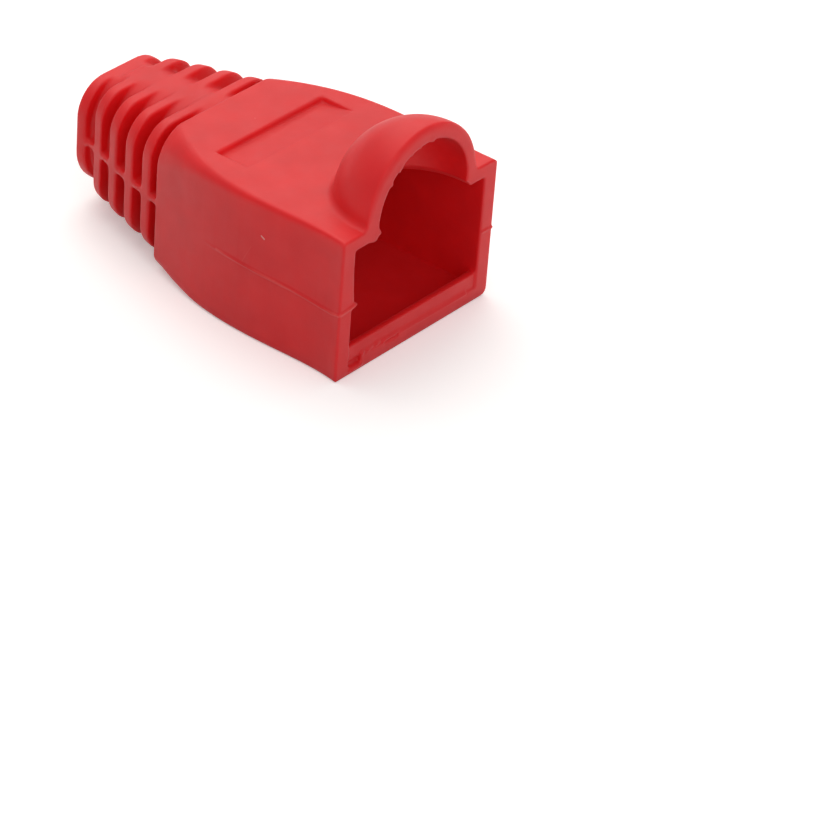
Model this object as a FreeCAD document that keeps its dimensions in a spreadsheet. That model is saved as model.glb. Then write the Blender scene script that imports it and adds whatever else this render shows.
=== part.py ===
import FreeCAD, Part
import math
import os
import Sketcher
from FreeCAD import Vector

# Strain relief boot for a modular plug: one soft plastic moulding.
# A rectangular socket takes the back of the plug, a hood over its top keeps the latch
# from snagging, and a slotted, tapering tail bends with the cable.
#
# Frame, in millimetres: X runs across the boot, +Y from the open mouth to the cable end,
# +Z up. The sketches start at the mouth; the body's Placement then puts the origin under
# the middle of the boot, on the surface that it rests on.

SIZES = {
    # Socket, outside: five sections from the mouth to the rear, planed to true flats
    "socket_height": 9.58,
    "mouth_station": 0.0,
    "mouth_width": 14.0,
    "mouth_top_round": 0.3,
    "mouth_bottom_round": 0.2,
    "middle_station": 5.5,
    "middle_width": 13.86,
    "middle_top_round": 0.45,
    "middle_bottom_round": 0.24,
    "waist_station": 10.2,
    "waist_width": 13.64,
    "waist_top_round": 0.7,
    "waist_bottom_round": 0.32,
    "shoulder_station": 12.9,
    "shoulder_width": 12.72,
    "shoulder_top_round": 1.2,
    "shoulder_bottom_round": 0.42,
    "rear_station": 15.7,
    "rear_width": 11.36,
    "rear_top_round": 2.4,
    "rear_bottom_round": 0.55,
    "planed_off": 0.03,
    # Socket, inside, and the way from it to the cable
    "cavity_width": 11.7,
    "cavity_depth": 11.5,
    "ceiling_wall": 0.93,
    "floor_wall": 0.92,
    "funnel_mouth": 7.4,
    "funnel_length": 3.6,
    "cable_bore": 5.3,
    # Lip across the bottom of the mouth, and the moulding gate's recess at one end of it
    "lip_top": 1.93,
    "lip_setback": 0.12,
    "lip_thickness": 0.4,
    "lip_ramp": 1.3,
    "lip_end_gap": 0.15,
    "gate_width": 1.15,
    "gate_height": 0.46,
    "gate_depth": 0.3,
    # Hood over the latch, and the latch space in it: each is a round bar for a little way
    # in from the mouth, then half a ball, both centred just under the top of the socket
    "hood_radius": 4.95,
    "hood_straight": 0.42,
    "hood_drop": 0.08,
    "latch_radius": 3.98,
    "latch_straight": 0.8,
    "latch_drop": 0.15,
    "latch_shift": 0.15,
    "hood_root_round": 0.42,
    "hood_rim_radius": 4.7,
    "hood_rim_drop": 0.31,
    "hood_rim_round": 0.65,
    "latch_way_bevel": 0.45,
    # Shallow recess in the top
    "recess_width": 9.5,
    "recess_length": 2.5,
    "recess_end": 11.9,
    "recess_depth": 0.36,
    # Tail: three sections from inside the socket's rear to the last slot
    "tail_length": 8.5,
    "root_overlap": 0.8,
    "root_width": 11.64,
    "root_height": 9.14,
    "root_corner": 2.15,
    "mid_distance": 3.2,
    "mid_width": 9.92,
    "mid_height": 8.44,
    "mid_corner": 2.0,
    "tip_width": 7.46,
    "tip_height": 7.72,
    "tip_corner": 1.7,
    # Collar that ends the tail
    "collar_width": 7.4,
    "collar_height": 7.4,
    "collar_top_corner": 2.2,
    "collar_bottom_corner": 2.9,
    "collar_length": 0.8,
    # Slots round the tail: their floors are an upright oval core, narrower to the tip
    "slot_width": 0.9,
    "first_slot_distance": 0.25,
    "core_root_half": 4.65,
    "core_tip_half": 3.15,
    "core_root_crest": 4.45,
    "core_tip_crest": 3.95,
    "side_rib_height": 0.45,
}
SLOTS = 5
HALF_TURN = 180
FULL_TURN = 360
RIM_TURN = 160
MID_HEIGHT = "Sizes.socket_height / 2"
CEILING = "(Sizes.socket_height - Sizes.ceiling_wall)"
TAIL_END = "(Sizes.rear_station + Sizes.tail_length)"
FIRST_SLOT = "(Sizes.rear_station + Sizes.first_slot_distance)"
LAST_SLOT = "(%s - Sizes.collar_length - Sizes.slot_width / 2)" % TAIL_END

doc = FreeCAD.newDocument("StrainReliefBoot")
sheet = doc.addObject("Spreadsheet::Sheet", "Sizes")
for row, (alias, value) in enumerate(SIZES.items(), start=1):
    sheet.set("A%d" % row, alias)
    sheet.set("B%d" % row, str(value))
    sheet.setAlias("B%d" % row, alias)
doc.recompute()

boot = doc.addObject("PartDesign::Body", "Boot")
boot.Label = "boot"


# ---------------------------------------------------------------- sketch helpers

def origin_plane(role):
    return next(item for item in boot.Origin.OriginFeatures if item.Role == role)


def new_sketch(name, role, station="0", rise="0"):
    """A sketch on an origin plane, moved along its normal and up."""
    sketch = boot.newObject("Sketcher::SketchObject", name)
    sketch.AttachmentSupport = [(origin_plane(role), "")]
    sketch.MapMode = "FlatFace"
    sketch.setExpression("AttachmentOffset.Base.y", rise)
    sketch.setExpression("AttachmentOffset.Base.z", station)
    return sketch


def cross_sketch(name, station, rise="0"):
    """A sketch across the boot, X by Z, at a distance from the mouth."""
    return new_sketch(name, "XZ_Plane", "-(%s)" % station, rise)


def size(sketch, kind, *where):
    """Adds a dimension whose last argument is the expression that drives it."""
    *places, expression = where
    value = sketch.evalExpression(expression)
    index = sketch.addConstraint(Sketcher.Constraint(kind, *places, float(value)))
    sketch.renameConstraint(index, "size_%d" % index)
    sketch.setExpression("Constraints.size_%d" % index, expression)


def fix_point(sketch, line, end, x, z):
    """Places one end of a line by its two coordinates."""
    size(sketch, "DistanceX", -1, 1, line, end, x)
    size(sketch, "DistanceY", -1, 1, line, end, z)


def polygon(sketch, corners):
    """A closed outline through corners given as pairs of expressions."""
    points = [Vector(sketch.evalExpression(x), sketch.evalExpression(z), 0) for x, z in corners]
    first = sketch.GeometryCount
    count = len(points)
    for i in range(count):
        sketch.addGeometry(Part.LineSegment(points[i], points[(i + 1) % count]))
    for i in range(count):
        follower = first + (i + 1) % count
        sketch.addConstraint(Sketcher.Constraint("Coincident", first + i, 2, follower, 1))
    for i, (x, z) in enumerate(corners):
        fix_point(sketch, first + i, 1, x, z)


def arc(centre, radius, start_degrees, end_degrees):
    circle = Part.Circle(centre, Vector(0, 0, 1), radius)
    return Part.ArcOfCircle(circle, math.radians(start_degrees), math.radians(end_degrees))


def rounded_rectangle(sketch, width, bottom, top, bottom_round, top_round):
    """Four lines and four corner arcs, anticlockwise from the bottom line."""
    half = sketch.evalExpression(width) / 2
    low = sketch.evalExpression(bottom)
    high = sketch.evalExpression(top)
    small = sketch.evalExpression(bottom_round)
    large = sketch.evalExpression(top_round)
    inner_low = half - small
    inner_high = half - large
    sketch.addGeometry([
        Part.LineSegment(Vector(-inner_low, low, 0), Vector(inner_low, low, 0)),
        arc(Vector(inner_low, low + small, 0), small, 270, 360),
        Part.LineSegment(Vector(half, low + small, 0), Vector(half, high - large, 0)),
        arc(Vector(inner_high, high - large, 0), large, 0, 90),
        Part.LineSegment(Vector(inner_high, high, 0), Vector(-inner_high, high, 0)),
        arc(Vector(-inner_high, high - large, 0), large, 90, 180),
        Part.LineSegment(Vector(-half, high - large, 0), Vector(-half, low + small, 0)),
        arc(Vector(-inner_low, low + small, 0), small, 180, 270),
    ])
    for i in range(8):
        sketch.addConstraint(Sketcher.Constraint("Tangent", i, 2, (i + 1) % 8, 1))
    sketch.addConstraint([
        Sketcher.Constraint("Symmetric", 0, 1, 0, 2, -2),
        Sketcher.Constraint("Horizontal", 4),
        Sketcher.Constraint("Vertical", 2),
        Sketcher.Constraint("Vertical", 6),
        Sketcher.Constraint("Equal", 1, 7),
        Sketcher.Constraint("Equal", 3, 5),
    ])
    size(sketch, "Radius", 1, bottom_round)
    size(sketch, "Radius", 3, top_round)
    size(sketch, "DistanceX", -1, 1, 2, 1, "(%s) / 2" % width)
    size(sketch, "DistanceY", -1, 1, 0, 1, bottom)
    size(sketch, "DistanceY", -1, 1, 4, 1, top)


# ---------------------------------------------------------------- feature helpers

def volume():
    doc.recompute()
    return boot.Shape.Volume if boot.Tip else 0.0


def expect(change, before, what):
    """Stops the build if a feature added or removed nothing."""
    gained = volume() - before
    if gained * change <= 0:
        raise RuntimeError("%s changed the volume by %.3f" % (what, gained))


def loft(kind, name, sketches):
    feature = boot.newObject(kind, name)
    feature.Profile = sketches[0]
    feature.Sections = sketches[1:]
    return feature


def pocket(name, sketch, length, midplane=False, backwards=False):
    feature = boot.newObject("PartDesign::Pocket", name)
    feature.Profile = sketch
    feature.setExpression("Length", length)
    feature.SideType = "Symmetric" if midplane else "One side"
    feature.Reversed = backwards
    return feature


def pad(name, sketch, length, backwards=False):
    feature = boot.newObject("PartDesign::Pad", name)
    feature.Profile = sketch
    feature.setExpression("Length", length)
    feature.Reversed = backwards
    return feature


def hood_outline(sketch):
    """Half the hood from its middle line out: its round, then the small concave corner
    by which it runs into the top, closed just below the top."""
    radius = sketch.evalExpression("Sizes.hood_radius")
    root = sketch.evalExpression("Sizes.hood_root_round")
    drop = sketch.evalExpression("Sizes.hood_drop")
    reach = math.sqrt((radius + root) ** 2 - (root + drop) ** 2)
    tilt = math.degrees(math.atan2(root + drop, reach))
    sketch.addGeometry([
        arc(Vector(0, 0, 0), radius, tilt, 90),
        Part.LineSegment(Vector(0, radius, 0), Vector(0, 0, 0)),
        Part.LineSegment(Vector(0, 0, 0), Vector(reach, 0, 0)),
        Part.LineSegment(Vector(reach, 0, 0), Vector(reach, drop, 0)),
        arc(Vector(reach, drop + root, 0), root, 180 + tilt, 270),
    ])
    sketch.addConstraint([
        Sketcher.Constraint("Coincident", 0, 3, -1, 1),
        Sketcher.Constraint("Coincident", 0, 2, 1, 1),
        Sketcher.Constraint("Coincident", 1, 2, -1, 1),
        Sketcher.Constraint("Coincident", 1, 2, 2, 1),
        Sketcher.Constraint("Coincident", 2, 2, 3, 1),
        Sketcher.Constraint("Coincident", 3, 2, 4, 2),
        Sketcher.Constraint("Tangent", 4, 1, 0, 1),
        Sketcher.Constraint("Vertical", 1),
        Sketcher.Constraint("Horizontal", 2),
        Sketcher.Constraint("Vertical", 3),
        Sketcher.Constraint("Vertical", 4, 3, 4, 2),
    ])
    size(sketch, "Radius", 0, "Sizes.hood_radius")
    size(sketch, "Radius", 4, "Sizes.hood_root_round")
    size(sketch, "DistanceY", -1, 1, 3, 2, "Sizes.hood_drop")


def turned(kind, name, sketch, axis, degrees):
    """A sketch turned about one of its own axes, equally both ways."""
    feature = boot.newObject(kind, name)
    feature.Profile = sketch
    feature.ReferenceAxis = (sketch, [axis])
    feature.Angle = degrees
    feature.Midplane = True
    return feature


def edge_at(height, reach):
    """Names the level edge that runs at a height and comes nearest to a distance from the mouth."""
    level = [
        (abs(edge.BoundBox.YMax - reach), "Edge%d" % number)
        for number, edge in enumerate(boot.Shape.Edges, start=1)
        if abs(edge.BoundBox.ZMin - height) < 0.01 and abs(edge.BoundBox.ZMax - height) < 0.01
    ]
    return min(level)[1]


# ---------------------------------------------------------------- tail

sections = []
for place, station in (("root", "Sizes.rear_station - Sizes.root_overlap"),
                       ("mid", "Sizes.rear_station + Sizes.mid_distance"),
                       ("tip", LAST_SLOT)):
    sketch = cross_sketch("Tail_" + place, station, MID_HEIGHT)
    rounded_rectangle(sketch, "Sizes.%s_width" % place, "-Sizes.%s_height / 2" % place,
                      "Sizes.%s_height / 2" % place, "Sizes.%s_corner" % place,
                      "Sizes.%s_corner" % place)
    sections.append(sketch)
loft("PartDesign::AdditiveLoft", "Tail", sections)

before = volume()
sketch = cross_sketch("Collar_outline", TAIL_END, MID_HEIGHT)
rounded_rectangle(sketch, "Sizes.collar_width", "-Sizes.collar_height / 2",
                  "Sizes.collar_height / 2", "Sizes.collar_bottom_corner",
                  "Sizes.collar_top_corner")
pad("Collar", sketch, "Sizes.collar_length + Sizes.slot_width")
expect(+1, before, "collar")

# Each slot is cut from above and from below, down to the rib along each side. Its floor
# stands upright beside the rib and turns over the core in a half circle, whose crest
# comes through the top of the tail towards the tip.
for index in range(SLOTS):
    before = volume()
    share = "%d / %d" % (index, SLOTS - 1)
    half = "(Sizes.core_root_half + (Sizes.core_tip_half - Sizes.core_root_half) * %s)" % share
    crest = "(Sizes.core_root_crest + (Sizes.core_tip_crest - Sizes.core_root_crest) * %s)" % share
    station = "%s + (%s - %s) * %s" % (FIRST_SLOT, LAST_SLOT, FIRST_SLOT, share)
    sketch = cross_sketch("Slot_outline_%d" % (index + 1), station, MID_HEIGHT)
    for sign in (1, -1):
        first = sketch.GeometryCount
        rib = "%d * Sizes.side_rib_height / 2" % sign
        turn = "%d * (%s - %s)" % (sign, crest, half)
        clear = "%d * Sizes.socket_height" % sign
        outside = "Sizes.mouth_width"
        corners = [("-" + half, rib), ("-" + outside, rib), ("-" + outside, clear),
                   (outside, clear), (outside, rib), (half, rib)]
        points = [Vector(sketch.evalExpression(x), sketch.evalExpression(z), 0) for x, z in corners]
        radius = sketch.evalExpression(half)
        middle = Vector(0, sketch.evalExpression(turn), 0)
        left_turn = Vector(-radius, middle.y, 0)
        right_turn = Vector(radius, middle.y, 0)
        angles = (0, 180) if sign == 1 else (180, 360)
        sketch.addGeometry([Part.LineSegment(a, b) for a, b in zip(points, points[1:])])
        sketch.addGeometry([
            Part.LineSegment(points[5], right_turn),
            arc(middle, radius, *angles),
            Part.LineSegment(left_turn, points[0]),
        ])
        arc_ends = (1, 2) if sign == 1 else (2, 1)
        joins = [(first + i, 2, first + i + 1, 1) for i in range(5)]
        joins.append((first + 7, 2, first, 1))
        for join in joins:
            sketch.addConstraint(Sketcher.Constraint("Coincident", *join))
        sketch.addConstraint(Sketcher.Constraint("Tangent", first + 5, 2, first + 6, arc_ends[0]))
        sketch.addConstraint(Sketcher.Constraint("Tangent", first + 6, arc_ends[1], first + 7, 1))
        sketch.addConstraint(Sketcher.Constraint("Vertical", first + 5))
        for i, (x, z) in enumerate(corners[:5]):
            fix_point(sketch, first + i, 1, x, z)
        fix_point(sketch, first + 4, 2, *corners[5])
        size(sketch, "DistanceY", -1, 1, first + 6, 3, turn)
    pocket("Slot_%d" % (index + 1), sketch, "Sizes.slot_width", midplane=True)
    expect(-1, before, "slot %d" % (index + 1))

# ---------------------------------------------------------------- socket and hood

before = volume()
sections = []
for place in ("mouth", "middle", "waist", "shoulder", "rear"):
    sketch = cross_sketch("Socket_" + place, "Sizes.%s_station" % place)
    rounded_rectangle(sketch, "Sizes.%s_width" % place, "-Sizes.planed_off",
                      "Sizes.socket_height + Sizes.planed_off",
                      "Sizes.%s_bottom_round" % place, "Sizes.%s_top_round" % place)
    sections.append(sketch)
loft("PartDesign::AdditiveLoft", "Socket", sections)
expect(+1, before, "socket")

# The top and the underside are true flats, so both are cut off level.
for name, station, down in (("Underside", "0", False), ("Top", "Sizes.socket_height", True)):
    before = volume()
    sketch = new_sketch(name + "_outline", "XY_Plane", station=station)
    polygon(sketch, [
        ("-Sizes.mouth_width", "-Sizes.mouth_width"),
        ("Sizes.mouth_width", "-Sizes.mouth_width"),
        ("Sizes.mouth_width", TAIL_END),
        ("-Sizes.mouth_width", TAIL_END),
    ])
    pocket(name, sketch, "Sizes.mouth_width", backwards=down)
    expect(-1, before, name)

# The hood is straight for a little way in from the mouth, then round like a ball.
HOOD_LINE = "Sizes.socket_height - Sizes.hood_drop"
before = volume()
sketch = cross_sketch("Hood_front_outline", "0", HOOD_LINE)
hood_outline(sketch)
hood_front = pad("Hood_front", sketch, "Sizes.hood_straight", backwards=True)
hood_pair = boot.newObject("PartDesign::Mirrored", "Hood_front_pair")
hood_pair.Originals = [hood_front]
hood_pair.MirrorPlane = (origin_plane("YZ_Plane"), [""])
boot.Tip = hood_pair
expect(+1, before, "hood front")

before = volume()
sketch = new_sketch("Hood_outline", "YZ_Plane", rise=HOOD_LINE)
sketch.setExpression("AttachmentOffset.Base.x", "Sizes.hood_straight")
hood_outline(sketch)
turned("PartDesign::Revolution", "Hood", sketch, "V_Axis", HALF_TURN)
expect(+1, before, "hood")

# Its front edge is rounded over, most at the crown, and dies out above the feet.
before = volume()
sketch = new_sketch("Rim_outline", "YZ_Plane", rise="Sizes.socket_height - Sizes.hood_rim_drop")
rim = sketch.evalExpression("Sizes.hood_rim_radius")
over = sketch.evalExpression("Sizes.hood_rim_round")
corners = [Vector(0, rim, 0), Vector(-over, rim, 0), Vector(-over, rim + 2 * over, 0),
           Vector(over, rim + 2 * over, 0), Vector(over, rim + over, 0)]
sketch.addGeometry([Part.LineSegment(a, b) for a, b in zip(corners, corners[1:])])
sketch.addGeometry(arc(Vector(over, rim, 0), over, 90, 180))
sketch.addConstraint([
    Sketcher.Constraint("Coincident", 0, 2, 1, 1),
    Sketcher.Constraint("Coincident", 1, 2, 2, 1),
    Sketcher.Constraint("Coincident", 2, 2, 3, 1),
    Sketcher.Constraint("Coincident", 3, 2, 4, 1),
    Sketcher.Constraint("Coincident", 4, 2, 0, 1),
    Sketcher.Constraint("Horizontal", 0),
    Sketcher.Constraint("Vertical", 1),
    Sketcher.Constraint("Horizontal", 2),
    Sketcher.Constraint("Vertical", 3),
    Sketcher.Constraint("Horizontal", 4, 3, 4, 2),
    Sketcher.Constraint("Vertical", 4, 3, 4, 1),
    Sketcher.Constraint("PointOnObject", 0, 1, -2),
])
size(sketch, "Radius", 4, "Sizes.hood_rim_round")
size(sketch, "DistanceY", -1, 1, 0, 1, "Sizes.hood_rim_radius")
size(sketch, "DistanceX", 0, 2, 0, 1, "Sizes.hood_rim_round")
size(sketch, "DistanceY", 1, 1, 1, 2, "2 * Sizes.hood_rim_round")
turned("PartDesign::Groove", "Hood_rim", sketch, "H_Axis", RIM_TURN)
expect(-1, before, "hood rim")

# ---------------------------------------------------------------- inside

before = volume()
sketch = cross_sketch("Cavity_outline", "0")
polygon(sketch, [
    ("-Sizes.cavity_width / 2", "Sizes.floor_wall"),
    ("Sizes.cavity_width / 2", "Sizes.floor_wall"),
    ("Sizes.cavity_width / 2", CEILING),
    ("-Sizes.cavity_width / 2", CEILING),
])
pocket("Cavity", sketch, "Sizes.cavity_depth")
expect(-1, before, "cavity")

# The latch space is the same form, a little to one side.
LATCH_LINE = "Sizes.socket_height - Sizes.latch_drop"
before = volume()
sketch = cross_sketch("Latch_front_outline", "0", LATCH_LINE)
centre = Vector(sketch.evalExpression("Sizes.latch_shift"), 0, 0)
wide = sketch.evalExpression("Sizes.latch_radius")
sketch.addGeometry(Part.Circle(centre, Vector(0, 0, 1), wide))
sketch.addConstraint(Sketcher.Constraint("PointOnObject", 0, 3, -1))
size(sketch, "DistanceX", -1, 1, 0, 3, "Sizes.latch_shift")
size(sketch, "Radius", 0, "Sizes.latch_radius")
pocket("Latch_front", sketch, "Sizes.latch_straight")
expect(-1, before, "latch front")

before = volume()
sketch = new_sketch("Latch_outline", "YZ_Plane", station="Sizes.latch_shift", rise=LATCH_LINE)
sketch.setExpression("AttachmentOffset.Base.x", "Sizes.latch_straight")
sketch.addGeometry([
    arc(Vector(0, 0, 0), wide, -90, 90),
    Part.LineSegment(Vector(0, wide, 0), Vector(0, -wide, 0)),
])
sketch.addConstraint([
    Sketcher.Constraint("Coincident", 0, 3, -1, 1),
    Sketcher.Constraint("Coincident", 0, 2, 1, 1),
    Sketcher.Constraint("Coincident", 1, 2, 0, 1),
    Sketcher.Constraint("PointOnObject", 0, 1, -2),
    Sketcher.Constraint("PointOnObject", 0, 2, -2),
])
size(sketch, "Radius", 0, "Sizes.latch_radius")
latch_space = turned("PartDesign::Groove", "Latch_space", sketch, "V_Axis", HALF_TURN)
expect(-1, before, "latch space")

# Where the latch space opens through the ceiling, its edge is cut back.
before = volume()
ceiling = sheet.socket_height - sheet.ceiling_wall
opening = edge_at(ceiling, sheet.latch_straight + sheet.latch_radius)
bevel = boot.newObject("PartDesign::Chamfer", "Latch_way_bevel")
bevel.Base = (latch_space, [opening])
bevel.setExpression("Size", "Sizes.latch_way_bevel")
expect(-1, before, "latch bevel")

# Funnel from the cavity's back to the cable bore, turned about the bore's axis
before = volume()
sketch = new_sketch("Cable_way_outline", "YZ_Plane", rise=MID_HEIGHT)
polygon(sketch, [
    ("Sizes.cavity_depth", "0"),
    (TAIL_END + " + Sizes.collar_length", "0"),
    (TAIL_END + " + Sizes.collar_length", "Sizes.cable_bore / 2"),
    ("Sizes.cavity_depth + Sizes.funnel_length", "Sizes.cable_bore / 2"),
    ("Sizes.cavity_depth", "Sizes.funnel_mouth / 2"),
])
turned("PartDesign::Groove", "Cable_way", sketch, "H_Axis", FULL_TURN)
expect(-1, before, "cable way")

# ---------------------------------------------------------------- mouth lip and recesses

before = volume()
sketch = new_sketch("Lip_outline", "YZ_Plane", station="-Sizes.cavity_width / 2 - Sizes.lip_setback")
polygon(sketch, [
    ("Sizes.lip_setback", "Sizes.floor_wall / 2"),
    ("Sizes.lip_ramp", "Sizes.floor_wall / 2"),
    ("Sizes.lip_ramp", "Sizes.floor_wall"),
    ("Sizes.lip_setback + Sizes.lip_thickness", "Sizes.lip_top"),
    ("Sizes.lip_setback", "Sizes.lip_top"),
])
pad("Lip", sketch, "Sizes.cavity_width + Sizes.lip_setback - Sizes.lip_end_gap")
expect(+1, before, "lip")

before = volume()
sketch = cross_sketch("Gate_outline", "0")
gate_left = "-Sizes.cavity_width / 2"
gate_right = "-Sizes.cavity_width / 2 + Sizes.gate_width"
gate_low = "Sizes.floor_wall - Sizes.gate_height"
polygon(sketch, [
    (gate_left + " + Sizes.gate_height / 2", gate_low),
    (gate_right, gate_low),
    (gate_right, "Sizes.floor_wall"),
    (gate_left, "Sizes.floor_wall"),
    (gate_left, gate_low + " + Sizes.gate_height / 2"),
])
pocket("Gate", sketch, "Sizes.gate_depth")
expect(-1, before, "gate recess")

before = volume()
sketch = new_sketch("Recess_outline", "XY_Plane", station="Sizes.socket_height")
polygon(sketch, [
    ("-Sizes.recess_width / 2", "Sizes.recess_end - Sizes.recess_length"),
    ("Sizes.recess_width / 2", "Sizes.recess_end - Sizes.recess_length"),
    ("Sizes.recess_width / 2", "Sizes.recess_end"),
    ("-Sizes.recess_width / 2", "Sizes.recess_end"),
])
pocket("Recess", sketch, "Sizes.recess_depth")
expect(-1, before, "top recess")

# ---------------------------------------------------------------- place, check, write

boot.setExpression("Placement.Base.y", "-%s / 2" % TAIL_END)
doc.recompute()
for item in doc.Objects:
    if "Invalid" in item.State or "Error" in item.State:
        raise RuntimeError("%s failed: %s" % (item.Name, item.State))
shape = boot.Shape
if shape.isNull() or not shape.isValid() or len(shape.Solids) != 1:
    raise RuntimeError("the boot is not one valid solid")
print("boot: %.1f mm3, box %s" % (shape.Volume, shape.BoundBox))

os.makedirs("parts", exist_ok=True)
shape.exportStep("parts/boot.step")
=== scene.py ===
import math

import bpy
import numpy as np
from mathutils import Matrix, Vector


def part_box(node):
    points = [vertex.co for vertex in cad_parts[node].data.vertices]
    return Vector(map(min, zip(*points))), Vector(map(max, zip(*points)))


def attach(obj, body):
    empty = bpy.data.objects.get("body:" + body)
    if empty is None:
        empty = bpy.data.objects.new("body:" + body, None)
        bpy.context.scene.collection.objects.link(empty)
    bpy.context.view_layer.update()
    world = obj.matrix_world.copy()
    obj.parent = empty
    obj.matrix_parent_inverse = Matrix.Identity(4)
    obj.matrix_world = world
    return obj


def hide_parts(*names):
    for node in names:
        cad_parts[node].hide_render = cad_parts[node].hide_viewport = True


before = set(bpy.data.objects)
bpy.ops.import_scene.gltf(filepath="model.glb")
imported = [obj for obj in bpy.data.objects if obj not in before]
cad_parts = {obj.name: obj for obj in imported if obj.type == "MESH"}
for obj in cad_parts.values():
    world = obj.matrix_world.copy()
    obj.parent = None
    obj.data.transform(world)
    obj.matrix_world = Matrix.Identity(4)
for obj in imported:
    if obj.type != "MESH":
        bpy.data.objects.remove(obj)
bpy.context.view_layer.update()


# ------------------------------------------------------------------ camera and light
# The boot stands on a plain white floor in a bright room. One soft box hangs over it, one
# stands behind it and gives the top its sheen, and one stands in front of the mouth.

MM = 0.001
WHITE = (1, 1, 1)
WARM_WHITE = (1, 0.95, 0.89)


def toward(azimuth, elevation, distance=1):
    """A place at a distance from the origin; azimuth 0 is straight out from the mouth."""
    a, e = math.radians(azimuth), math.radians(elevation)
    return Vector((math.sin(a) * math.cos(e), -math.cos(a) * math.cos(e), math.sin(e))) * distance


CAMERA_ROLL = math.radians(4.663)
CAMERA_PLACE = Vector((-176.971, -148.345, 146.782)) * MM

back = toward(azimuth=-52.568, elevation=34.303)
level_right = (-back).cross(Vector((0, 0, 1))).normalized()
level_up = level_right.cross(-back)
right = level_right * math.cos(CAMERA_ROLL) + level_up * math.sin(CAMERA_ROLL)
up = level_up * math.cos(CAMERA_ROLL) - level_right * math.sin(CAMERA_ROLL)
turn = Matrix((right, up, back)).transposed().to_4x4()

camera_data = bpy.data.cameras.new("camera")
camera_data.sensor_width = 36
camera_data.lens = 194.71
camera_data.clip_start = 0.01
camera_data.clip_end = 10
camera = bpy.data.objects.new("camera", camera_data)
bpy.context.scene.collection.objects.link(camera)
camera.matrix_world = Matrix.Translation(CAMERA_PLACE) @ turn
bpy.context.scene.camera = camera
bpy.context.scene.view_settings.view_transform = "Standard"


def soft_box(name, place, width, height, watts, tint):
    """A rectangular lamp that faces the middle of the boot; sizes are in metres."""
    boot_middle = Vector((0, 0, 0.005))
    data = bpy.data.lights.new(name, "AREA")
    data.shape = "RECTANGLE"
    data.size = width
    data.size_y = height
    data.energy = watts
    data.color = tint
    lamp = bpy.data.objects.new(name, data)
    bpy.context.scene.collection.objects.link(lamp)
    lamp.location = place
    lamp.rotation_mode = "QUATERNION"
    lamp.rotation_quaternion = (place - boot_middle).to_track_quat("Z", "Y")


soft_box("overhead_light", toward(azimuth=170, elevation=72, distance=0.36),
         width=0.30, height=0.30, watts=0.42, tint=WARM_WHITE)
soft_box("rear_light", toward(azimuth=130, elevation=40, distance=0.36),
         width=0.30, height=0.30, watts=0.32, tint=WARM_WHITE)
soft_box("mouth_light", toward(azimuth=-20, elevation=30, distance=0.38),
         width=0.34, height=0.30, watts=0.31, tint=WHITE)

world = bpy.data.worlds.new("studio")
bpy.context.scene.world = world
world.use_nodes = True
world.node_tree.nodes["Background"].inputs["Color"].default_value = (*WHITE, 1)
world.node_tree.nodes["Background"].inputs["Strength"].default_value = 0.46


def feed(entry, value):
    """Gives a node's entry a plain value, or links it to another node's output."""
    if isinstance(value, bpy.types.NodeSocket):
        entry.id_data.links.new(value, entry)
    else:
        entry.default_value = value


def figure(operation, first, second):
    """One sum on two values, of which the first is another node's output."""
    node = first.id_data.nodes.new("ShaderNodeMath")
    node.operation = operation
    feed(node.inputs[0], first)
    feed(node.inputs[1], second)
    return node.outputs[0]


def blend(amount, under, over):
    """One colour laid over another, by an amount from 0 to 1."""
    node = amount.id_data.nodes.new("ShaderNodeMix")
    node.data_type = "RGBA"
    feed(node.inputs["Factor"], amount)
    feed(node.inputs["A"], under)
    feed(node.inputs["B"], over)
    return node.outputs["Result"]


# The floor is white to the eye and in reflections, and greyer where it lights the boot
# from below.
FLOOR_SIZE = 3
FLOOR_SEEN = (0.98, 0.98, 0.98, 1)
FLOOR_LIGHTING = (0.55, 0.55, 0.55, 1)
FLOOR_GLOW = 0.28

bpy.ops.object.select_all(action="DESELECT")
bpy.ops.mesh.primitive_plane_add(size=FLOOR_SIZE)
floor = bpy.context.object
floor.name = "floor"
floor_paint = bpy.data.materials.new("white_floor")
floor_paint.use_nodes = True
floor_surface = floor_paint.node_tree.nodes["Principled BSDF"]
ray = floor_paint.node_tree.nodes.new("ShaderNodeLightPath").outputs
seen = figure("MAXIMUM", ray["Is Camera Ray"], ray["Is Glossy Ray"])
seen = figure("MAXIMUM", seen, ray["Is Transmission Ray"])
feed(floor_surface.inputs["Base Color"], blend(seen, FLOOR_LIGHTING, FLOOR_SEEN))
feed(floor_surface.inputs["Roughness"], 1.0)
feed(floor_surface.inputs["Specular IOR Level"], 0.0)
feed(floor_surface.inputs["Emission Color"], (*WHITE, 1))
feed(floor_surface.inputs["Emission Strength"], figure("MULTIPLY", seen, FLOOR_GLOW))
floor.data.materials.append(floor_paint)


# ------------------------------------------------------------------ boot
# One soft plastic moulding: plasticised PVC, dyed red right through. It is injected in a
# two-part mould that meets at mid height, and pushed off its core, so its edges are
# slightly soft all over, with a little flash where the mould's parts meet.

GRAIN_MM = 0.07
SAME_POINT = 1e-7
FINISHED_TRIANGLES = 170000

boot = bpy.data.objects.new("boot_moulding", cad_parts["boot"].data.copy())
bpy.context.scene.collection.objects.link(boot)
bpy.ops.object.select_all(action="DESELECT")
boot.select_set(True)
bpy.context.view_layer.objects.active = boot

bpy.ops.object.mode_set(mode="EDIT")
bpy.ops.mesh.select_all(action="SELECT")
bpy.ops.mesh.remove_doubles(threshold=SAME_POINT)
bpy.ops.object.mode_set(mode="OBJECT")

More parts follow.
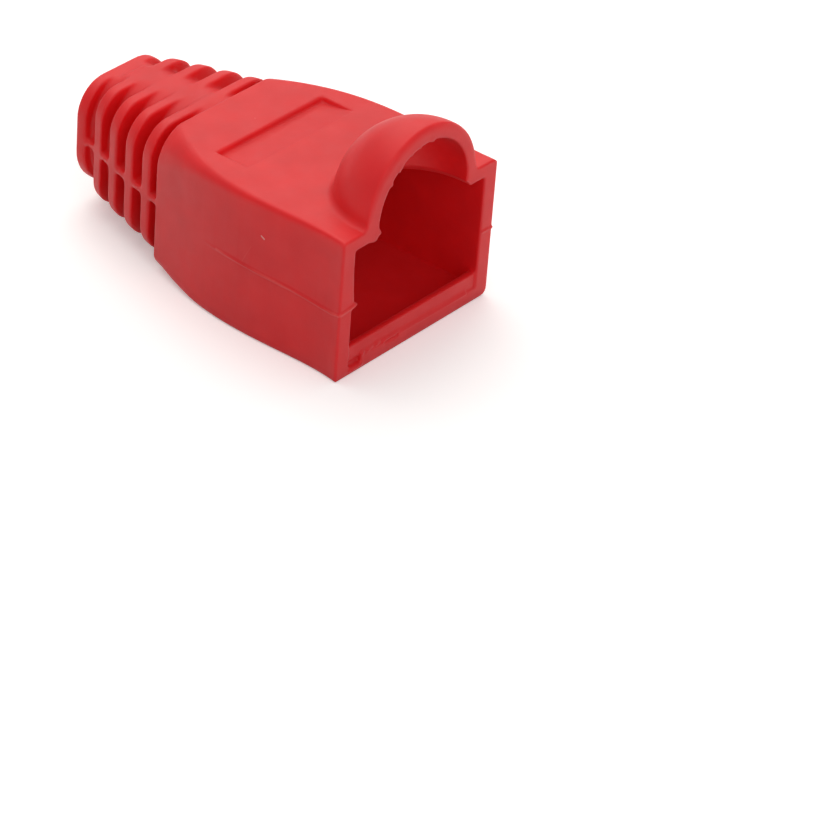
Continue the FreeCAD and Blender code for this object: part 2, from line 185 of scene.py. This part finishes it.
# The grain is finer than the modifier takes in metres, so the boot is worked on a thousand
# times up, with all sizes in millimetres.
boot.data.transform(Matrix.Scale(1 / MM, 4))
low, high = (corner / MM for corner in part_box("boot"))
MOUTH = low.y
LEFT = low.x
RIGHT = high.x


def finish_with(kind, **settings):
    """Works the boot's mesh with one of Blender's modifiers."""
    modifier = boot.modifiers.new(kind.lower(), kind)
    for name, value in settings.items():
        setattr(modifier, name, value)
    bpy.ops.object.modifier_apply(modifier=modifier.name)


def skin_points():
    """The points of the boot's skin, one row each."""
    points = np.empty(3 * len(boot.data.vertices))
    boot.data.vertices.foreach_get("co", points)
    return points.reshape(-1, 3)


def group(name, chosen):
    """Keeps the chosen points of the skin together under a name."""
    boot.vertex_groups.new(name=name).add(np.flatnonzero(chosen).tolist(), 1, "ADD")


finish_with("REMESH", mode="VOXEL", voxel_size=GRAIN_MM, adaptivity=0)
finish_with("SMOOTH", factor=0.5, iterations=5)

# The tail's slots and the recess's rear and right walls are softer still. Depths are
# counted in from the mouth.
TAIL_START = 15.75
RECESS_FRONT = 9.4
RECESS_REAR = 11.9
RECESS_END = 4.75
NEAR_THE_TOP = 9.0
WALL_BAND = 0.6
CORNER_BAND = 0.65
FRONT_GAP = 0.1
x, y, z = skin_points().T
depth = y - MOUTH
rear_wall = (np.abs(depth - RECESS_REAR) < WALL_BAND) & (np.abs(x) < RECESS_END + CORNER_BAND)
right_wall = (np.abs(x - RECESS_END) < WALL_BAND) & (depth > RECESS_FRONT + FRONT_GAP)
right_wall &= depth < RECESS_REAR + WALL_BAND
group("tail", depth > TAIL_START)
group("recess_walls", (z > NEAR_THE_TOP) & (rear_wall | right_wall))
finish_with("SMOOTH", factor=0.5, iterations=30, vertex_group="tail")
finish_with("SMOOTH", factor=0.5, iterations=16, vertex_group="recess_walls")

skin = skin_points()


def depths():
    """How far in from the mouth each point of the skin is."""
    return skin[:, 1] - MOUTH


# The socket's half width, measured on its side walls every half millimetre
SLICES = np.linspace(0, 16, 33)
SLICE_REACH = 0.15
WALL_FOOT = 2
WALL_HEAD = 8
side_wall = (skin[:, 2] > WALL_FOOT) & (skin[:, 2] < WALL_HEAD)
slice_half_widths = []
for middle in SLICES:
    in_slice = side_wall & (np.abs(depths() - middle) < SLICE_REACH)
    slice_half_widths.append(np.abs(skin[in_slice, 0]).max())


def half_width(depth):
    """The socket's half width at a depth."""
    return np.interp(depth, SLICES, slice_half_widths)


SKIN_DEPTH = 0.35
NEXT_TO_NOTHING = 1e-9


def swell(direction, reach, *path):
    """Pushes the skin out along a path, less and less to either side of it.

    Each point of the path is X across, depth, Z up, and how far the skin stands out there.
    """
    facing = np.array(direction) / np.linalg.norm(direction)
    gain = np.zeros(len(skin))
    for first, last in zip(path, path[1:] or path):
        start = np.array((first[0], MOUTH + first[1], first[2]))
        along = np.array((last[0], MOUTH + last[1], last[2])) - start
        share = np.clip((skin - start) @ along / max(along @ along, NEXT_TO_NOTHING), 0, 1)
        gap = skin - start - share[:, None] * along
        lift = gap @ facing
        sideways = np.linalg.norm(gap - lift[:, None] * facing, axis=1)
        height = first[3] + (last[3] - first[3]) * share
        here = height * np.exp(-(sideways / reach) ** 2) * (np.abs(lift) < SKIN_DEPTH)
        gain = np.where(np.abs(here) > np.abs(gain), here, gain)
    skin[:] += gain[:, None] * np.array(direction, float)


# Flash line along each side, as depth, height and how far it stands out, then across the
# mouth's edge on both walls
FLASH_REACH = 0.085
left_flash = [(11.0, 4.79, 0.0), (9.7, 4.82, 0.05), (8.5, 4.82, 0.08), (7.0, 4.79, 0.10),
              (6.0, 4.74, 0.11), (3.8, 4.71, 0.12), (2.7, 4.64, 0.11), (1.5, 4.57, 0.12),
              (0.6, 4.59, 0.12), (0.15, 4.70, 0.13)]
swell((-1, 0, 0), FLASH_REACH, *((-half_width(d), d, z, h) for d, z, h in left_flash))
right_flash = [(11.2, 4.80, 0.0), (9.0, 4.80, 0.07), (6.2, 4.76, 0.09), (3.1, 4.78, 0.10),
               (1.2, 4.72, 0.06), (0.0, 4.76, 0.05)]
swell((1, 0, 0), FLASH_REACH, *((half_width(d), d, z, h) for d, z, h in right_flash))
swell((0, -1, 0.6), 0.09, (LEFT, 0, 4.74, 0.09), (-6.4, 0, 4.75, 0.11), (-6.05, 0, 4.82, 0.12),
      (-5.8, 0, 4.79, 0.12))
swell((1, 0, 0), 0.42, (-5.85, 0, 5.30, 0.16), (-5.85, 0, 5.9, 0.10), (-5.85, 0, 6.6, 0.05))
swell((1, -0.2, 0.1), 0.17, (-5.78, 0.05, 4.88, 0.34))
swell((-0.2, -1, 0.4), 0.08, (6.0, 0, 4.80, 0.09), (RIGHT, 0, 4.72, 0.08))

# Burrs along the inner edge of the hood, and the torn corner at its left foot
swell((0.75, -0.2, -0.6), 0.15, (-2.95, 0.03, 11.86, 0.14))
swell((0.6, -0.2, -0.75), 0.12, (-2.28, 0.03, 12.52, 0.12), (-2.05, 0.03, 12.70, 0.08))
swell((0.1, -0.2, -1), 0.11, (0.45, 0.03, 13.38, 0.09), (0.62, 0.03, 13.36, 0.12))
swell((0.4, -0.2, -0.9), 0.09, (-0.55, 0.03, 13.33, 0.07))
swell((0.5, -0.2, -0.8), 0.09, (-1.25, 0.03, 13.14, 0.06))
swell((1, -0.1, -0.3), 0.20, (-3.83, 0.04, 8.95, 0.28))
swell((0.2, -0.1, -1), 0.13, (-4.05, 0.04, 8.66, 0.18), (-4.45, 0.04, 8.66, 0.07))
swell((-0.2, 0, 1), 0.12, (-3.72, 0.04, 9.45, 0.10))

# Torn flash under the lip, beside the gate's recess
lip_flash = [(-4.62, 1.02, 0.18), (-4.30, 1.04, 0.05), (-4.05, 1.03, 0.16), (-3.55, 1.05, 0.06),
             (-3.30, 1.06, 0.17), (-2.85, 1.05, 0.04), (-2.60, 1.03, 0.18), (-1.60, 1.02, 0.20),
             (-1.15, 1.00, 0.05), (0.70, 0.99, 0.10), (2.60, 0.97, 0.04), (4.90, 0.96, 0.09)]
swell((0, -1, -0.3), 0.10, *((x, 0.08, z, h) for x, z, h in lip_flash))
swell((0, 1, 0.2), 0.10, (-2.45, 0.0, 0.86, 0.16), (-1.45, 0.0, 0.86, 0.17))
swell((0, -1, 0), 0.12, (-5.65, 0.0, 0.30, 0.10), (-4.75, 0.0, 0.32, 0.09))


def round_edge(side, facing, level, radius, chosen):
    """Pulls one long edge of the socket in to a radius, which may change along it.

    Side is -1 for left and 1 for right, facing is -1 for the underside and 1 for the top,
    and level is how high that face is.
    """
    middle = half_width(depths()) - radius
    across = side * skin[:, 0] - middle
    rise = facing * (skin[:, 2] - level) + radius
    span = np.hypot(across, rise)
    proud = chosen & (across > 0) & (rise > 0) & (span > radius)
    pull = radius[proud] / span[proud]
    skin[proud, 0] = side * (middle[proud] + across[proud] * pull)
    skin[proud, 2] = level + facing * (rise[proud] * pull - radius[proud])


# The socket's lower edges are worn rounder toward the back, and at the mouth's right foot.
# Each pair is a depth and the radius there.
REAR_RADII = [(11.0, 0.34), (12.0, 0.48), (12.6, 0.62), (13.2, 0.78), (13.9, 0.95), (14.4, 1.13),
              (15.0, 1.36), (16.0, 1.55)]
FOOT_RADII = [(-1.0, 0.75), (0.4, 0.7), (1.6, 0.45), (3.4, 0.2)]
for side, radii in ((-1, REAR_RADII), (1, REAR_RADII), (1, FOOT_RADII)):
    stretch = (depths() > radii[0][0]) & (depths() < radii[-1][0])
    round_edge(side, -1, 0, np.interp(depths(), *zip(*radii)), stretch)

# The recess eases up to the top along its length to the front, and more steeply at its
# left end, so it has clear walls at the rear and right only. What stands outside the old
# front and left edges is levelled.
TOP = 9.58
RECESS_DEPTH = 0.36
EDGE_BAND = 0.4
EDGE_SAG = 0.16
in_front = (depths() > RECESS_FRONT - EDGE_BAND) & (depths() < RECESS_FRONT)
in_front &= np.abs(skin[:, 0]) < RECESS_END
on_left = (skin[:, 0] > -RECESS_END - EDGE_BAND) & (skin[:, 0] < -RECESS_END)
on_left &= (depths() > RECESS_FRONT - EDGE_BAND) & (depths() < RECESS_REAR)
skin[(in_front | on_left) & (np.abs(skin[:, 2] - TOP) < EDGE_SAG), 2] = TOP

OVERLAP = 0.03
BED_SAG = 0.1
LEFT_RUN = 0.5
EASE_POWER = 1.6
inside = (depths() > RECESS_FRONT - OVERLAP) & (depths() < RECESS_REAR)
inside &= np.abs(skin[:, 0]) < RECESS_END + OVERLAP
toward_rear = np.clip((depths() - RECESS_FRONT) / (RECESS_REAR - RECESS_FRONT), 0, 1)
from_left = np.clip((skin[:, 0] + RECESS_END) / LEFT_RUN, 0, 1)
ease = (1 - (1 - toward_rear) ** EASE_POWER) * (1 - (1 - from_left) ** EASE_POWER)
bed = TOP - RECESS_DEPTH * ease
lifted = inside & (skin[:, 2] > TOP - RECESS_DEPTH - BED_SAG) & (skin[:, 2] < bed)
skin[lifted, 2] = bed[lifted]

# The right upper edge is rounder at the mouth, and keeps its own round deeper in.
TOP_RADIUS = 0.5
TOP_RADIUS_END = 5.0
LEAST_SHARE = 0.05
top_radii = TOP_RADIUS * np.clip(1 - depths() / TOP_RADIUS_END, LEAST_SHARE, 1)
round_edge(1, 1, TOP, top_radii, depths() < TOP_RADIUS_END)

boot.data.vertices.foreach_set("co", skin.ravel())
boot.data.update()

# Flat walls need few faces, but the recess's easy curve keeps all of its own. The grain
# left squares, which are two triangles each.
END_MARGIN = 0.35
FRONT_MARGIN = 0.3
REAR_MARGIN = 0.4
x, y, z = skin_points().T
depth = y - MOUTH
in_recess = (z > NEAR_THE_TOP) & (np.abs(x) < RECESS_END + END_MARGIN)
in_recess &= (depth > RECESS_FRONT - FRONT_MARGIN) & (depth < RECESS_REAR + REAR_MARGIN)
group("recess", in_recess)
finish_with("DECIMATE", ratio=FINISHED_TRIANGLES / (2 * len(boot.data.polygons)),
            vertex_group="recess", invert_vertex_group=True)
boot.data.transform(Matrix.Scale(MM, 4))
bpy.ops.object.shade_smooth()
finish_with("WEIGHTED_NORMAL", mode="FACE_AREA", weight=50)

# The vinyl: matt, faintly mottled, with a fine grain, a few specks of dust and, on the left side,
# a scratch and a pale fibre, with a painted highlight along the flash line.
DEEP_RED = (0.74, 0.004, 0.008, 1)
CLEAR_RED = (0.82, 0.007, 0.011, 1)
# Pale red for the dust and the scratch, and as a painted highlight along the flash line
PALE_WEAR_AND_HIGHLIGHT_RED = (0.88, 0.12, 0.105, 1)
PALE_FIBRE = (0.85, 0.52, 0.48, 1)

red = bpy.data.materials.new("red_soft_vinyl")
red.use_nodes = True
nodes = red.node_tree.nodes
vinyl = nodes["Principled BSDF"].inputs
position = nodes.new("ShaderNodeTexCoord").outputs["Object"]


def cloud(size_mm, detail):
    """Soft noise with spots about this size."""
    noise = nodes.new("ShaderNodeTexNoise")
    feed(noise.inputs["Vector"], position)
    feed(noise.inputs["Scale"], 1 / (size_mm * MM))
    feed(noise.inputs["Detail"], detail)
    return noise.outputs["Fac"]


def fade(value, start, end):
    """0 up to start and 1 from end on, with a straight run between; end may be the lower."""
    ramp = nodes.new("ShaderNodeMapRange")
    feed(ramp.inputs["Value"], value)
    feed(ramp.inputs["From Min"], start)
    feed(ramp.inputs["From Max"], end)
    return ramp.outputs["Result"]


def vector_figure(operation, *values):
    """One sum on vectors, which gives a vector, or a number for a length or a dot product."""
    node = nodes.new("ShaderNodeVectorMath")
    node.operation = operation
    for entry, value in zip(node.inputs, values):
        feed(entry, value)
    return node.outputs["Value" if operation in ("DOT_PRODUCT", "LENGTH") else "Vector"]


def hairline(start, end, width_mm):
    """1 along a straight hair-thin mark and 0 away from it; its ends are X, depth and Z."""
    first = Vector((start[0], MOUTH + start[1], start[2])) * MM
    along = Vector((end[0], MOUTH + end[1], end[2])) * MM - first
    offset = vector_figure("SUBTRACT", position, first)
    share = figure("DIVIDE", vector_figure("DOT_PRODUCT", offset, along), along.length_squared)
    share.node.use_clamp = True
    gap = vector_figure("SUBTRACT", offset, vector_figure("MULTIPLY", share, along))
    return fade(vector_figure("LENGTH", gap), width_mm * MM, width_mm * MM * 0.3)


def any_of(first, *others):
    """1 wherever one of the marks is."""
    for other in others:
        first = figure("MAXIMUM", first, other)
    return first


# Dust: a spot in about one cell of seven
DUST_SPACING_MM = 1.3
CLEAN_SHARE = 0.86
cells = nodes.new("ShaderNodeTexVoronoi")
feed(cells.inputs["Vector"], position)
feed(cells.inputs["Scale"], 1 / (DUST_SPACING_MM * MM))
lot = nodes.new("ShaderNodeSeparateColor")
feed(lot.inputs["Color"], cells.outputs["Color"])
dusty = figure("GREATER_THAN", lot.outputs["Red"], CLEAN_SHARE)
dust = figure("MULTIPLY", dusty, fade(cells.outputs["Distance"], start=0.055, end=0.03))

scratch = any_of(hairline((-6.93, 7.66, 4.86), (-6.94, 7.38, 5.48), width_mm=0.06),
                 hairline((-6.94, 7.38, 5.48), (-6.94, 6.96, 6.29), width_mm=0.05))
fibre = hairline((-6.93, 6.24, 7.33), (-6.93, 6.03, 7.21), width_mm=0.075)
# A painted highlight along the flash line on the left side and across the mouth's edge, where its
# ridge catches the light from above
flash_line_highlight = any_of(hairline((-6.87, 9.7, 4.82), (-6.97, 6.0, 4.76), width_mm=0.13),
              hairline((-6.97, 6.0, 4.76), (-7.02, 2.7, 4.66), width_mm=0.13),
              hairline((-7.02, 2.7, 4.66), (-7.04, 0.0, 4.68), width_mm=0.14),
              hairline((-7.05, -0.05, 4.72), (-5.75, -0.05, 4.86), width_mm=0.14))

colour = blend(fade(cloud(size_mm=2.5, detail=3), start=0.3, end=0.7), DEEP_RED, CLEAR_RED)
# Marks laid over the mottled red: dust, scratch and fibre are the vinyl's own, and the flash
# line's lighter band is a painted highlight
for mark, strength, paint in (
    (dust, 0.35, PALE_WEAR_AND_HIGHLIGHT_RED),
    (scratch, 0.28, PALE_WEAR_AND_HIGHLIGHT_RED),
    (fibre, 0.8, PALE_FIBRE),
    (flash_line_highlight, 0.4, PALE_WEAR_AND_HIGHLIGHT_RED),
):
    colour = blend(figure("MULTIPLY", mark, strength), colour, paint)
feed(vinyl["Base Color"], colour)

LEAST_ROUGH = 0.42
ROUGHNESS_SPREAD = 0.16
mottle = figure("MULTIPLY", cloud(size_mm=1.1, detail=4), ROUGHNESS_SPREAD)
feed(vinyl["Roughness"], figure("ADD", mottle, LEAST_ROUGH))
feed(vinyl["IOR"], 1.48)
feed(vinyl["Sheen Weight"], 0.04)
feed(vinyl["Sheen Roughness"], 0.5)
feed(vinyl["Subsurface Weight"], 0.6)
feed(vinyl["Subsurface Radius"], (1, 0.10, 0.08))
feed(vinyl["Subsurface Scale"], 1.4 * MM)

FINE_GRAIN_SHARE = 0.35
fine_grain = figure("MULTIPLY", cloud(size_mm=0.09, detail=2), FINE_GRAIN_SHARE)
bump = nodes.new("ShaderNodeBump")
feed(bump.inputs["Strength"], 0.5)
feed(bump.inputs["Distance"], 0.03 * MM)
feed(bump.inputs["Height"], figure("ADD", fine_grain, cloud(size_mm=3.2, detail=2)))
feed(vinyl["Normal"], bump.outputs["Normal"])

boot.data.materials.clear()
boot.data.materials.append(red)

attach(boot, "root")
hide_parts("boot")
